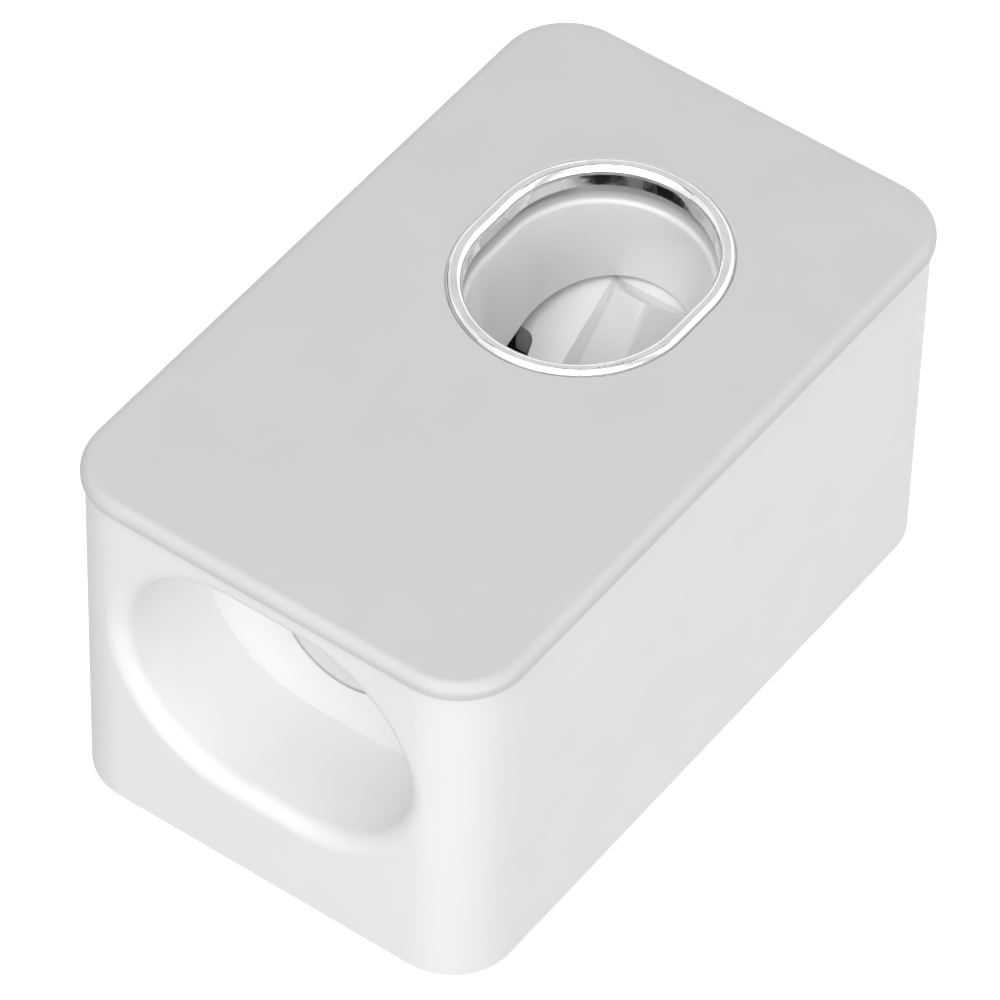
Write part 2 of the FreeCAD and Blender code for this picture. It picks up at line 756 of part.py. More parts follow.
def rib_section(body, drop, height):
    """Section of the rib, square to the paddle's face: round shoulders, and flanks that slope to the feet."""
    sketch = new_sketch(body, "XY_Plane", -drop, shift=(0, -paddle_out(-drop)), tilt=s.paddle_tilt)
    half = s.rib_width / 2
    wide = half + s.rib_foot
    crest = s.rib_round * (height / s.rib_height)
    root = s.paddle_thickness / 2
    shoulders = []
    flanks = []
    for side in (1, -1):
        x, y = side * (half - crest), crest - height
        centre = Vector(x.number, y.number, 0)
        foot = Vector(side * wide.number, 0, 0)
        away = foot - centre
        # the flank leaves the shoulder where the shoulder's radius is square to it
        leave = math.atan2(away.y, away.x) - side * math.acos(crest.number / away.Length)
        full = Part.Circle(centre, Vector(0, 0, 1), crest.number)
        top = -side * math.pi / 2
        ends = (top, leave) if side > 0 else (leave, top + math.pi)
        shoulder = sketch.addGeometry(Part.ArcOfCircle(full, *ends), False)
        fix_point(sketch, shoulder, 3, x, y)
        fix(sketch, "Radius", shoulder, value=crest)
        touch = centre + Vector(math.cos(leave), math.sin(leave), 0) * crest.number
        flank = sketch.addGeometry(Part.LineSegment(touch, foot), False)
        sketch.addConstraint(Sketcher.Constraint("Tangent", shoulder, 2 if side > 0 else 1, flank, 1))
        fix_point(sketch, flank, 2, side * wide, 0)
        shoulders.append(shoulder)
        flanks.append(flank)
    reach = (half - crest).number
    crown = Part.LineSegment(Vector(reach, -height.number, 0), Vector(-reach, -height.number, 0))
    line = sketch.addGeometry(crown, False)
    sketch.addConstraint(Sketcher.Constraint("Tangent", shoulders[0], 1, line, 1))
    sketch.addConstraint(Sketcher.Constraint("Tangent", shoulders[1], 2, line, 2))
    # the root, inside the plate
    under = [(-wide, as_size(0)), (-wide, root), (wide, root), (wide, as_size(0))]
    below = [Vector(x.number, y.number, 0) for x, y in under]
    lines = [sketch.addGeometry(Part.LineSegment(a, b), False) for a, b in zip(below, below[1:])]
    sketch.addConstraint(Sketcher.Constraint("Coincident", flanks[1], 2, lines[0], 1))
    sketch.addConstraint(Sketcher.Constraint("Coincident", flanks[0], 2, lines[2], 2))
    for number in (1, 2):
        sketch.addConstraint(Sketcher.Constraint("Coincident", lines[number - 1], 2, lines[number], 1))
        fix_point(sketch, lines[number], 1, *under[number])
    return sketch


# Pin, clips and return spring

def pin_sketch(body):
    """A sketch whose horizontal axis is the lever's axis."""
    return new_sketch(body, "XZ_Plane", hub_out, shift=(0, hub_z))


clip_inner_x = cheek_outer + s.fit_gap
clip_outer_x = clip_inner_x + s.clip_thickness


def make_lever_pin():
    body = new_body("lever_pin")
    radius = s.pin_radius
    waist = radius - s.pin_groove
    end_x = clip_outer_x + s.pin_tail
    right = [(cheek_outer, radius), (cheek_outer, waist), (clip_outer_x + s.fit_gap, waist),
             (clip_outer_x + s.fit_gap, radius), (end_x, radius), (end_x, 0)]
    left = [(-x, y) for x, y in reversed(right)]
    sketch = pin_sketch(body)
    polygon(sketch, left + right)
    revolve(body, sketch, "H_Axis")
    return body


def make_pin_clips():
    body = new_body("pin_clips")
    for inner in (clip_inner_x, -clip_outer_x):
        sketch = new_sketch(body, "YZ_Plane", inner)
        circle(sketch, -hub_out, hub_z, s.clip_radius)
        circle(sketch, -hub_out, hub_z, s.pin_radius - s.pin_groove + s.fit_gap)
        pad(body, sketch, s.clip_thickness)
    mouth = new_sketch(body, "YZ_Plane", clip_outer_x)
    half = s.pin_radius - s.pin_groove
    rectangle(mouth, -hub_out - half, hub_z - 2 * s.clip_radius, -hub_out + half, hub_z)
    pocket(body, mouth, 2 * clip_outer_x)
    return body


def arc_from(start, direction, end):
    """The arc that leaves start along direction and reaches end."""
    chord = end - start
    half_turn = math.acos(max(-1.0, min(1.0, direction.normalize().dot(chord) / chord.Length)))
    bow = (direction - chord * (direction.dot(chord) / chord.Length ** 2)).normalize()
    middle = (start + end) * 0.5 + bow * (chord.Length / 2 * math.tan(half_turn / 2))
    return Part.Arc(start, middle, end).toShape()


def biarc(start, first, end, last):
    """Two arcs that meet smoothly between two points with given unit directions."""
    span = end - start
    a = 2 * (1 - first.dot(last))
    b = 2 * span.dot(first + last)
    reach = (-b + math.sqrt(b * b + 4 * a * span.dot(span))) / (2 * a)
    knee = (start + first * reach + end - last * reach) * 0.5
    tail = arc_from(end, last * -1, knee)
    middle = tail.valueAt((tail.FirstParameter + tail.LastParameter) / 2)
    return [arc_from(start, Vector(first), knee), Part.Arc(knee, middle, end).toShape()]


def make_return_spring():
    """Torsion spring on the pin: one leg stands against the frame's tab, the other on the paddle's back."""
    wire = s.spring_wire.number
    radius = s.spring_radius.number
    centre = Vector(0, -hub_out.number, hub_z.number)
    start_x = s.hub_half.number + s.slide_gap.number + wire / 2
    tilt = math.radians(s.paddle_tilt.number)
    # the coil starts along the paddle's back and ends with its leg rising behind the pin
    start_turn = -tilt
    sweep = 2 * math.pi * math.floor(s.spring_turns.number) + tilt
    leg = s.spring_leg.number
    # the rising leg leans out by the coil's pitch, and its tip stays clear of the cheek
    tip_x = s.cheek_half.number - s.slide_gap.number - wire / 2
    lean = leg / (sweep * radius)
    end_x = (tip_x + start_x * lean) / (1 + lean)
    pitch = (end_x - start_x) / sweep

    def point(turn):
        along = start_x + pitch * (turn - start_turn)
        return centre + Vector(along, radius * math.cos(turn), radius * math.sin(turn))

    def direction(turn):
        return Vector(pitch, -radius * math.sin(turn), radius * math.cos(turn)).normalize()

    steps = math.ceil(sweep / (math.pi / 2))
    turns = [start_turn + sweep * step / steps for step in range(steps + 1)]
    edges = []
    edges.append(Part.LineSegment(point(turns[0]) - direction(turns[0]) * leg, point(turns[0])).toShape())
    for here, after in zip(turns, turns[1:]):
        edges.extend(biarc(point(here), direction(here), point(after), direction(after)))
    tip = point(turns[-1]) + direction(turns[-1]) * leg
    edges.append(Part.LineSegment(point(turns[-1]), tip).toShape())
    path = Part.Wire(edges)
    first = edges[0].valueAt(edges[0].FirstParameter)
    ring = Part.Wire(Part.Circle(first, direction(turns[0]), wire / 2).toShape())
    spring = doc.addObject("Part::Feature", "return_spring")
    spring.Label = "return_spring"
    spring.Shape = path.makePipeShell([ring], True, False)
    spring.Placement = FreeCAD.Placement()
    print("return_spring: gap between turns", round(abs(pitch) * 2 * math.pi - wire, 3),
          "volume share", round(spring.Shape.Volume / (math.pi * wire ** 2 / 4 * path.Length), 4))
    return spring


# Pump frame: anvil in front of the pump tube, cheeks that carry the pin, shelf and lid

def make_pump_frame():
    body = new_body("pump_frame")
    plate = new_sketch(body, "XZ_Plane", anvil_out)
    rectangle(plate, -cheek_outer, shelf_z, cheek_outer, lid_z)
    pad(body, plate, s.anvil_thickness, reverse=True)
    # raised pad that backs the pump tube between its clamps
    rest = new_sketch(body, "XZ_Plane", anvil_back_out)
    clear = s.clamp_height + 2 * s.slide_gap
    rectangle(rest, -s.tube_radius, tube_low_z + clear, s.tube_radius, tube_high_z - clear)
    pad(body, rest, anvil_back_out - tube_out - s.tube_radius - s.fit_gap, reverse=True)
    ears = new_sketch(body, "XZ_Plane", anvil_out)
    half = s.frame_ear_height / 2
    wide = cheek_outer + s.frame_ear
    for z in (ear_low_z, ear_high_z):
        rectangle(ears, -wide, z - half, wide, z + half)
    pad(body, ears, s.anvil_thickness, reverse=True)

    lid_back_out = anvil_out - s.lid_length
    hub_front = -hub_out - s.cheek_margin
    hub_back = -hub_out + s.cheek_margin
    for inner in (s.cheek_half, -cheek_outer):
        cheek = new_sketch(body, "YZ_Plane", inner)
        polygon(cheek, [(-anvil_out, shelf_z), (-anvil_out, lid_z), (-lid_back_out, lid_z),
                        (hub_back, hub_z + s.cheek_margin), (hub_back, hub_z - s.cheek_margin),
                        (hub_front, hub_z - s.cheek_margin), (hub_front, shelf_z)])
        pad(body, cheek, s.cheek_thickness)
    shelf = new_sketch(body, "XY_Plane", shelf_z)
    shelf_back = -tube_out + s.tube_radius
    rectangle(shelf, -cheek_outer, -anvil_out, cheek_outer, shelf_back)
    pad(body, shelf, s.shelf_thickness)
    # tab over the coil, whose end stops the spring's rising leg
    tab = new_sketch(body, "XY_Plane", shelf_z)
    tab_back = -hub_out + s.spring_radius - s.spring_wire / 2 - s.fit_gap
    tab_x = s.hub_half + s.slide_gap
    rectangle(tab, tab_x, shelf_back - s.tube_wall, cheek_outer, tab_back)
    pad(body, tab, s.shelf_thickness)
    lid = new_sketch(body, "XY_Plane", lid_z)
    rectangle(lid, -cheek_outer, -anvil_out, cheek_outer, -lid_back_out)
    pad(body, lid, s.lid_thickness, reverse=True)

    bore = new_sketch(body, "XY_Plane", lid_z)
    circle(bore, 0, -tube_out, spigot_radius + s.fit_gap)
    pocket(body, bore, lid_z - shelf_z)
    pins = new_sketch(body, "YZ_Plane", cheek_outer)
    circle(pins, -hub_out, hub_z, s.pin_radius + s.fit_gap)
    pocket(body, pins, 2 * cheek_outer)
    pocket(body, circles(body, anvil_out, frame_spots, s.small_screw + s.fit_gap), s.anvil_thickness)
    return body


# Pump tube, its clamps, spigots and valves, all on the axis of the tube recess

def make_pump_tube():
    inner = tube_bore
    return turned_piece("pump_tube", tube_out, 0, [
        (inner, tube_low_z), (s.tube_radius, tube_low_z), (s.tube_radius, tube_high_z), (inner, tube_high_z)])


def make_tube_clamps():
    body = new_body("tube_clamps")
    inner = s.tube_radius + s.fit_gap
    outer = inner + s.clamp_wall
    for low_z in (tube_low_z + s.slide_gap, tube_high_z - s.slide_gap - s.clamp_height):
        sketch = new_sketch(body, "XY_Plane", low_z)
        circle(sketch, 0, -tube_out, outer)
        circle(sketch, 0, -tube_out, inner)
        pad(body, sketch, s.clamp_height)
    return body


seal_top_z = recess_floor_z - s.seal_sunk
plug_low_z = inlet_top_z - s.seal_plug_length
seat_low_z = plug_low_z - s.valve_flange
valve_body = spigot_bore - s.fit_gap


def make_inlet_spigot():
    plug_bore = s.seal_plug_radius + s.fit_gap
    seat = s.valve_seat + s.fit_gap
    return turned_piece("inlet_spigot", tube_out, 0, [
        (spigot_bore, tube_high_z - s.spigot_reach), (spigot_radius, tube_high_z - s.spigot_reach),
        (spigot_radius, lid_z), (s.inlet_rim, lid_z), (s.inlet_rim, inlet_top_z), (plug_bore, inlet_top_z),
        (plug_bore, plug_low_z), (seat, plug_low_z), (seat, seat_low_z), (spigot_bore, seat_low_z)])


def make_inlet_valve():
    """One-way valve: a collar, and a bill whose lips close on a slit."""
    bill_z = tube_high_z - s.spigot_reach / 2
    tip_z = tube_high_z - s.spigot_reach
    inner = valve_body - s.valve_wall
    body = turned_piece("inlet_valve", tube_out, 0, [
        (0, tip_z), (valve_body, tip_z), (valve_body, seat_low_z), (s.valve_seat, seat_low_z),
        (s.valve_seat, plug_low_z), (inner, plug_low_z), (inner, bill_z), (0, tip_z + s.valve_wall)])
    bill = new_sketch(body, "XZ_Plane", tube_out + s.valve_seat)
    for side in (1, -1):
        polygon(bill, [(side * s.valve_wall, tip_z), (side * valve_body, bill_z),
                       (side * 2 * valve_body, bill_z), (side * 2 * valve_body, tip_z)])
    pocket(body, bill, 2 * s.valve_seat)
    slit = new_sketch(body, "XZ_Plane", tube_out + inner)
    rectangle(slit, -s.nozzle_slit / 2, tip_z, s.nozzle_slit / 2, bill_z)
    pocket(body, slit, 2 * inner)
    return body


def make_socket_seal():
    rim = s.socket_radius - s.seal_gap
    flare = s.neck_radius + s.neck_chamfer
    return turned_piece("socket_seal", tube_out, 0, [
        (s.neck_radius, plug_low_z), (s.seal_plug_radius, plug_low_z), (s.seal_plug_radius, inlet_top_z),
        (rim, inlet_top_z), (rim, seal_top_z), (flare, seal_top_z),
        (s.neck_radius, seal_top_z - s.neck_chamfer)])


def make_outlet_elbow():
    body = new_body("outlet_elbow")
    block = new_sketch(body, "XY_Plane", elbow_z)
    rectangle(block, -s.elbow_half, -nozzle_out - s.elbow_half, s.elbow_half, -tube_out + s.elbow_half)
    pad(body, block, s.elbow_height)
    spigot = new_sketch(body, "XY_Plane", shelf_z)
    circle(spigot, 0, -tube_out, spigot_radius)
    pad(body, spigot, s.shelf_thickness + s.spigot_reach)
    spout = new_sketch(body, "XY_Plane", elbow_z)
    circle(spout, 0, -nozzle_out, s.nozzle_radius - s.nozzle_wall)
    pad(body, spout, elbow_z - nozzle_tip_z - 2 * s.nozzle_wall, reverse=True)
    middle_z = elbow_z + s.elbow_height / 2
    down = new_sketch(body, "XY_Plane", shelf_z + s.shelf_thickness + s.spigot_reach)
    circle(down, 0, -tube_out, spigot_bore)
    pocket(body, down, s.shelf_thickness + s.spigot_reach + s.elbow_height / 2)
    across = new_sketch(body, "XZ_Plane", nozzle_out)
    circle(across, 0, middle_z, s.channel_radius)
    pocket(body, across, nozzle_out - tube_out)
    out = new_sketch(body, "XY_Plane", middle_z)
    circle(out, 0, -nozzle_out, s.channel_radius)
    pocket(body, out, middle_z - nozzle_tip_z)
    return body


nozzle_tip_z = opening_z + cup_half + s.cup_inner_radius - s.nozzle_reach


def make_outlet_nozzle():
    """Silicone cap on the spout, with a cross slit that keeps the paste in."""
    inner = s.nozzle_radius - s.nozzle_wall + s.fit_gap
    high_z = elbow_z - s.fit_gap
    floor_z = nozzle_tip_z + s.nozzle_wall
    body = turned_piece("outlet_nozzle", nozzle_out, 0, [
        (0, nozzle_tip_z), (s.nozzle_radius, nozzle_tip_z), (s.nozzle_radius, high_z), (inner, high_z),
        (inner, floor_z), (0, floor_z)])
    half = s.nozzle_slit / 2
    reach = s.nozzle_radius - s.nozzle_wall
    for across, along in ((reach, half), (half, reach)):
        slit = new_sketch(body, "XY_Plane", floor_z)
        rectangle(slit, -across, -nozzle_out - along, across, -nozzle_out + along)
        pocket(body, slit, s.nozzle_wall)
    return body


# Screws, four to a node, each driven from the wall side

def make_screws(name, spots, seat_out, shank, head, length):
    body = new_body(name)
    pad(body, circles(body, seat_out, spots, head), s.head_height, reverse=True)
    pad(body, circles(body, seat_out, spots, shank), length)
    head_out = seat_out - s.head_height
    half = s.drive_width / 2
    reach = head * DRIVE_REACH_SHARE
    for across, along in ((reach, half), (half, reach)):
        drive = new_sketch(body, "XZ_Plane", head_out)
        for x, z in spots:
            rectangle(drive, x - across, z - along, x + across, z + along)
        pocket(body, drive, s.drive_depth, reverse=True)
    return body


def make_fasteners():
    return [
        make_screws("case_screws", post_spots, boss_end_out - s.case_seat, s.case_screw, s.case_head,
                    s.case_seat + s.case_bite),
        make_screws("cup_screws", cup_spots, flange_out - s.cup_flange, s.small_screw, s.small_head,
                    s.cup_flange + s.small_bite),
        make_screws("frame_screws", frame_spots, anvil_back_out, s.small_screw, s.small_head,
                    s.anvil_thickness + s.frame_bite),
    ]


# What stays on the wall

def make_wall_plate():
    body = new_body("wall_plate")
    narrow = s.plate_half
    wide = narrow + s.plate_flare
    near = back_out
    far = near + s.plate_thickness
    section = new_sketch(body, "XY_Plane", -plate_top_z)
    polygon(section, [(-narrow, -near), (-wide, -far), (wide, -far), (narrow, -near)])
    pad(body, section, s.plate_height)
    return body


def make_adhesive_pad():
    body = new_body("adhesive_pad")
    sketch = new_sketch(body, "XZ_Plane", 0)
    twice = 2 * s.pad_margin
    rounded_rectangle(sketch, 2 * s.plate_half - twice, s.plate_height - twice, s.pad_corner)
    pad(body, sketch, s.pad_thickness)
    return body


pieces = [
    make_housing(),
    make_front_panel(),
    make_chrome_ring(),
    make_brush_cup(),
    make_push_lever(),
    make_lever_pin(),
    make_pin_clips(),
    make_return_spring(),
    make_pump_frame(),
    make_pump_tube(),
    make_tube_clamps(),
    make_inlet_spigot(),
    make_inlet_valve(),
    make_socket_seal(),
    make_outlet_elbow(),
    make_outlet_nozzle(),
    *make_fasteners(),
    make_wall_plate(),
    make_adhesive_pad(),
]
doc.recompute()

for item in doc.Objects:
    if "Invalid" in item.State or "Error" in item.State:
        raise RuntimeError(f"{item.Name} failed: {item.State}")
for piece in pieces:
    if piece.Shape.isNull() or not piece.Shape.isValid():
        raise RuntimeError(f"{piece.Label} has no valid shape")

os.makedirs("parts", exist_ok=True)
for piece in pieces:
    piece.Shape.exportStep(f"parts/{piece.Label}.step")
    box = piece.Shape.BoundBox
    print(f"{piece.Label}: {len(piece.Shape.Solids)} solids, {piece.Shape.Volume:.0f} mm3, "
          f"{box.XLength:.1f} x {box.YLength:.1f} x {box.ZLength:.1f} mm")
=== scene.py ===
"""Looks of a wall-hung toothpaste dispenser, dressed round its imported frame, in metres.

The frame has +Z up, the front panel at -Y and the wall at Y = 0. The camera lies over on its side,
so that the dispenser is seen as if it lay on its back, with the panel up.
"""

import json
import math

import bmesh
import bpy
from mathutils import Matrix, Vector


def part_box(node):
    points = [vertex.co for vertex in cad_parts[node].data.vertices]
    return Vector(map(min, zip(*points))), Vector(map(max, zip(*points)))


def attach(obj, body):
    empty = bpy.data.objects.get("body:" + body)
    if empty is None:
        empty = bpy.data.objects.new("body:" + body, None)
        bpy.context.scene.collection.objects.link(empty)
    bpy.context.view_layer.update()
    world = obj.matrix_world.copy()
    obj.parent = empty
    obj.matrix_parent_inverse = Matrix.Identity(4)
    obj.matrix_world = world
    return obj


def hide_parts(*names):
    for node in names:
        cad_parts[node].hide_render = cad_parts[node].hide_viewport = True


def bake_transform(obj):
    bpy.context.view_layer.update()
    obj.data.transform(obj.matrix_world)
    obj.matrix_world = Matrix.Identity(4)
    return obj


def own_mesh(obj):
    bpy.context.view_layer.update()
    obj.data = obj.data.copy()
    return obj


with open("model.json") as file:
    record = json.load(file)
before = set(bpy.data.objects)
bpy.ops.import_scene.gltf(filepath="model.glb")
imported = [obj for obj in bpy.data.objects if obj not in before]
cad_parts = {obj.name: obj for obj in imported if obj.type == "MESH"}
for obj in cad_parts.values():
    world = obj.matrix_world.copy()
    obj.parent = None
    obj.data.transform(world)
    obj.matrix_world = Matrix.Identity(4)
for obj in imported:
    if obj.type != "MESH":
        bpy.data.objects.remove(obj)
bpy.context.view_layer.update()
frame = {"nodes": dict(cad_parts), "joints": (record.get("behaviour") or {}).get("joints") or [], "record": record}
nodes = frame["nodes"]
joints = {joint["name"]: joint for joint in frame["joints"]}

MM = 0.001

# Photograph's camera, from its fitted place and directions
CAMERA_PLACE = Vector((-0.40372, -0.80146, 0.58282))
CAMERA_AHEAD = Vector((0.3857, 0.7373, -0.5546))
CAMERA_UP = Vector((0.4463, -0.6752, -0.5873))
CAMERA_LENS = 286.04
CAMERA_SENSOR = 36.0

# Range of a field that colours and roughness are spread over
FIELD_LOW = 0.3
FIELD_HIGH = 0.7

# Moulded plastic: sizes of its clouds and patches of polish, its refraction and a coat's roughness
PLASTIC_CLOUD = 14 * MM
PLASTIC_PATCH = 5 * MM
PLASTIC_IOR = 1.5
COAT_ROUGHNESS = 0.08

# Plating: its colours and roughness, and sizes of its clouds, patches of polish and orange peel
PLATING_DARK = (0.80, 0.80, 0.81)
PLATING_LIGHT = (0.93, 0.93, 0.94)
PLATING_ROUGHNESS = (0.03, 0.09)
PLATING_CLOUD = 3 * MM
PLATING_PATCH = 1.2 * MM
PEEL_SIZE = 1.6 * MM
PEEL_HEIGHT = 0.01 * MM

# Steel: size and height of its tool marks, its roughness, and how much lighter the ridges are painted, as a
# painted highlight
MARK_SIZE = 0.25 * MM
MARK_HEIGHT = 0.01 * MM
STEEL_ROUGHNESS = (0.22, 0.38)
RIDGE_PAINTED_HIGHLIGHT = 1.2

# Silicone: its clouds, the grain of its skin, its roughness and refraction, and how light sinks in
SILICONE_CLOUD = 3 * MM
SKIN_SIZE = 0.5 * MM
SKIN_HEIGHT = 0.015 * MM
SILICONE_ROUGHNESS = (0.38, 0.56)
SILICONE_IOR = 1.41
SINKING_SHARE = 0.35
BLUE_DEPTH_SHARE = 0.9

# Foam: size and height of its cells, its colours (darker in each cell's hollow, as painted shade) and its matt
# skin
CELL_SIZE = 0.45 * MM
CELL_HEIGHT = 0.12 * MM
FOAM_HOLLOW_SHADE = (0.36, 0.36, 0.35)
FOAM_RIM_TONE = (0.58, 0.58, 0.56)
FOAM_ROUGHNESS = 0.9

# Spring and pump tube, as they are made in the frame
SPRING_WIRE = 0.8 * MM
SPRING_RADIUS = 2.9 * MM
SPRING_TURNS = 2
SPRING_LEG = 11.0 * MM
PADDLE_TILT = math.radians(30)
CLAMPED_LENGTH = 2.6 * MM
TUBE_WALL = 1.5 * MM

# Foam pad on the wall plate: the round of its rims and of its corners
FOAM_ROUND = 0.35 * MM
FOAM_CORNER = 3.0 * MM
ROUND_PROFILE = 0.5
LEVEL_TOLERANCE = 1e-7

# Fineness of the round meshes: a turn of the coil, the wire's section, a tube, a corner and a rim
COIL_STEPS = 24
WIRE_RESOLUTION = 4
TUBE_SIDES = 64
CORNER_STEPS = 8
RIM_STEPS = 4

# Studio: the part hangs clear of a wide floor, in dim even light and four soft lamps
FLOOR_REACH = 6.0
FLOOR_LEVEL = -0.35
FLOOR_SHADE = 0.8
FLOOR_GLOW = 0.62
AMBIENT = 0.18

# Soft lamps: place, width of the square and watts
LAMPS = {
    "front_softbox": ((-0.05, -1.0, 0.46), 1.2, 7.8),
    "end_softbox": ((-0.12, -0.22, 1.1), 1.2, 6.0),
    "side_softbox": ((-1.1, -0.25, 0.5), 1.0, 5.9),
    "back_softbox": ((0.3, 1.1, -0.12), 0.4, 5.0),
}

# Direction that runs about across the photograph
PICTURE_ACROSS = (0.80, -0.02, 0.557)

# Cards that show in the ring and in gloss: place, direction of the length, width, length and shade
CARDS = {
    "grey_card": ((0.116, -0.279, -0.183), PICTURE_ACROSS, 0.30, 0.34, 0.95),
    "black_strip": ((0.036, -0.380, -0.079), PICTURE_ACROSS, 0.035, 0.45, 0.02),
    "low_card_left": ((0.55, -0.11, 0.15), (-0.2, 0, 1), 0.10, 0.7, 0.02),
    "low_card_far": ((-0.1, -0.11, -0.57), (1, 0, 0), 0.10, 0.7, 0.02),
}


# Shader building

def shader_tree(name):
    """A new material with its tree, its Principled shader and its coordinates in metres."""
    material = bpy.data.materials.new(name)
    material.use_nodes = True
    tree = material.node_tree
    tree.nodes.clear()
    output = tree.nodes.new("ShaderNodeOutputMaterial")
    shader = tree.nodes.new("ShaderNodeBsdfPrincipled")
    tree.links.new(shader.outputs["BSDF"], output.inputs["Surface"])
    place = tree.nodes.new("ShaderNodeTexCoord").outputs["Object"]
    return material, tree, shader, place


def noise(tree, place, size, detail=3.0, density=None):
    """A noise field with grains of about the given size, longer along an axis of low density."""
    if density is not None:
        mapping = tree.nodes.new("ShaderNodeMapping")
        mapping.inputs["Scale"].default_value = density
        tree.links.new(place, mapping.inputs["Vector"])
        place = mapping.outputs["Vector"]
    field = tree.nodes.new("ShaderNodeTexNoise")
    field.inputs["Scale"].default_value = 1.0 / size
    field.inputs["Detail"].default_value = detail
    tree.links.new(place, field.inputs["Vector"])
    return field.outputs["Fac"]


def spread(tree, field, low, high):
    """The field's usual range, laid out from low to high."""
    ranged = tree.nodes.new("ShaderNodeMapRange")
    ranged.inputs["From Min"].default_value = FIELD_LOW
    ranged.inputs["From Max"].default_value = FIELD_HIGH
    ranged.inputs["To Min"].default_value = low
    ranged.inputs["To Max"].default_value = high
    tree.links.new(field, ranged.inputs["Value"])
    return ranged.outputs["Result"]


def tint(tree, field, dark, light):
    """A colour that runs from dark to light with the field."""
    ramp = tree.nodes.new("ShaderNodeValToRGB")
    ramp.color_ramp.elements[0].position = FIELD_LOW
    ramp.color_ramp.elements[0].color = (*dark, 1)
    ramp.color_ramp.elements[1].position = FIELD_HIGH
    ramp.color_ramp.elements[1].color = (*light, 1)
    tree.links.new(field, ramp.inputs["Fac"])
    return ramp.outputs["Color"]


def relief(tree, shader, field, height):
    """Bumps of the field, with their height in metres, on the shader."""
    bump = tree.nodes.new("ShaderNodeBump")
    bump.inputs["Distance"].default_value = height
    tree.links.new(field, bump.inputs["Height"])
    tree.links.new(bump.outputs["Normal"], shader.inputs["Normal"])


def moulded(name, dark, light, roughness, grain, grain_height, coat=0.0):
    """Moulded plastic: faintly clouded colour, polish that varies, and a fine grain."""
    material, tree, shader, place = shader_tree(name)
    cloud = noise(tree, place, PLASTIC_CLOUD)
    tree.links.new(tint(tree, cloud, dark, light), shader.inputs["Base Color"])
    patches = noise(tree, place, PLASTIC_PATCH, detail=5)
    tree.links.new(spread(tree, patches, *roughness), shader.inputs["Roughness"])
    fine = noise(tree, place, grain, detail=2)
    relief(tree, shader, fine, grain_height)
    shader.inputs["IOR"].default_value = PLASTIC_IOR
    shader.inputs["Coat Weight"].default_value = coat
    shader.inputs["Coat Roughness"].default_value = COAT_ROUGHNESS
    return material


def plated(name):
    """Bright plating on a moulded ring: a faint orange peel, and a polish that is not quite even."""
    material, tree, shader, place = shader_tree(name)
    cloud = noise(tree, place, PLATING_CLOUD)
    colour = tint(tree, cloud, PLATING_DARK, PLATING_LIGHT)
    tree.links.new(colour, shader.inputs["Base Color"])
    patches = noise(tree, place, PLATING_PATCH, detail=4)
    tree.links.new(spread(tree, patches, *PLATING_ROUGHNESS), shader.inputs["Roughness"])
    peel = noise(tree, place, PEEL_SIZE, detail=2)
    relief(tree, shader, peel, PEEL_HEIGHT)
    shader.inputs["Metallic"].default_value = 1.0
    return material


def ground_steel(name, shade, density):
    """Steel with fine tool marks, which run along the axis of low density; their raised ridges carry a painted
    highlight.
    """
    material, tree, shader, place = shader_tree(name)
    marks = noise(tree, place, MARK_SIZE, detail=4, density=density)
    # painted highlight: the marks' ridges, where the bump rises, are coloured lighter
    light = tuple(min(1.0, part * RIDGE_PAINTED_HIGHLIGHT) for part in shade)
    tree.links.new(tint(tree, marks, shade, light), shader.inputs["Base Color"])
    tree.links.new(spread(tree, marks, *STEEL_ROUGHNESS), shader.inputs["Roughness"])
    relief(tree, shader, marks, MARK_HEIGHT)
    shader.inputs["Metallic"].default_value = 1.0
    return material


def silicone(name, dark, light, depth):
    """Milky silicone: light sinks in to about the depth, and the skin is satin."""
    material, tree, shader, place = shader_tree(name)
    cloud = noise(tree, place, SILICONE_CLOUD)
    tree.links.new(tint(tree, cloud, dark, light), shader.inputs["Base Color"])
    skin = noise(tree, place, SKIN_SIZE, detail=4)
    tree.links.new(spread(tree, skin, *SILICONE_ROUGHNESS), shader.inputs["Roughness"])
    relief(tree, shader, skin, SKIN_HEIGHT)
    shader.inputs["Subsurface Weight"].default_value = SINKING_SHARE
    shader.inputs["Subsurface Radius"].default_value = (depth, depth, BLUE_DEPTH_SHARE * depth)
    shader.inputs["Subsurface Scale"].default_value = 1.0
    shader.inputs["IOR"].default_value = SILICONE_IOR
    return material


def foam(name):
    """Closed-cell foam: round cells with a matt skin, and painted shade that darkens each cell's hollow."""
    material, tree, shader, place = shader_tree(name)
    cells = tree.nodes.new("ShaderNodeTexVoronoi")
    cells.inputs["Scale"].default_value = 1.0 / CELL_SIZE
    tree.links.new(place, cells.inputs["Vector"])
    rise_from_hollow = cells.outputs["Distance"]
    # painted shade: each cell's sunken middle is coloured darker and its raised rim lighter
    tree.links.new(tint(tree, rise_from_hollow, FOAM_HOLLOW_SHADE, FOAM_RIM_TONE), shader.inputs["Base Color"])
    relief(tree, shader, rise_from_hollow, CELL_HEIGHT)
    shader.inputs["Roughness"].default_value = FOAM_ROUGHNESS
    return material


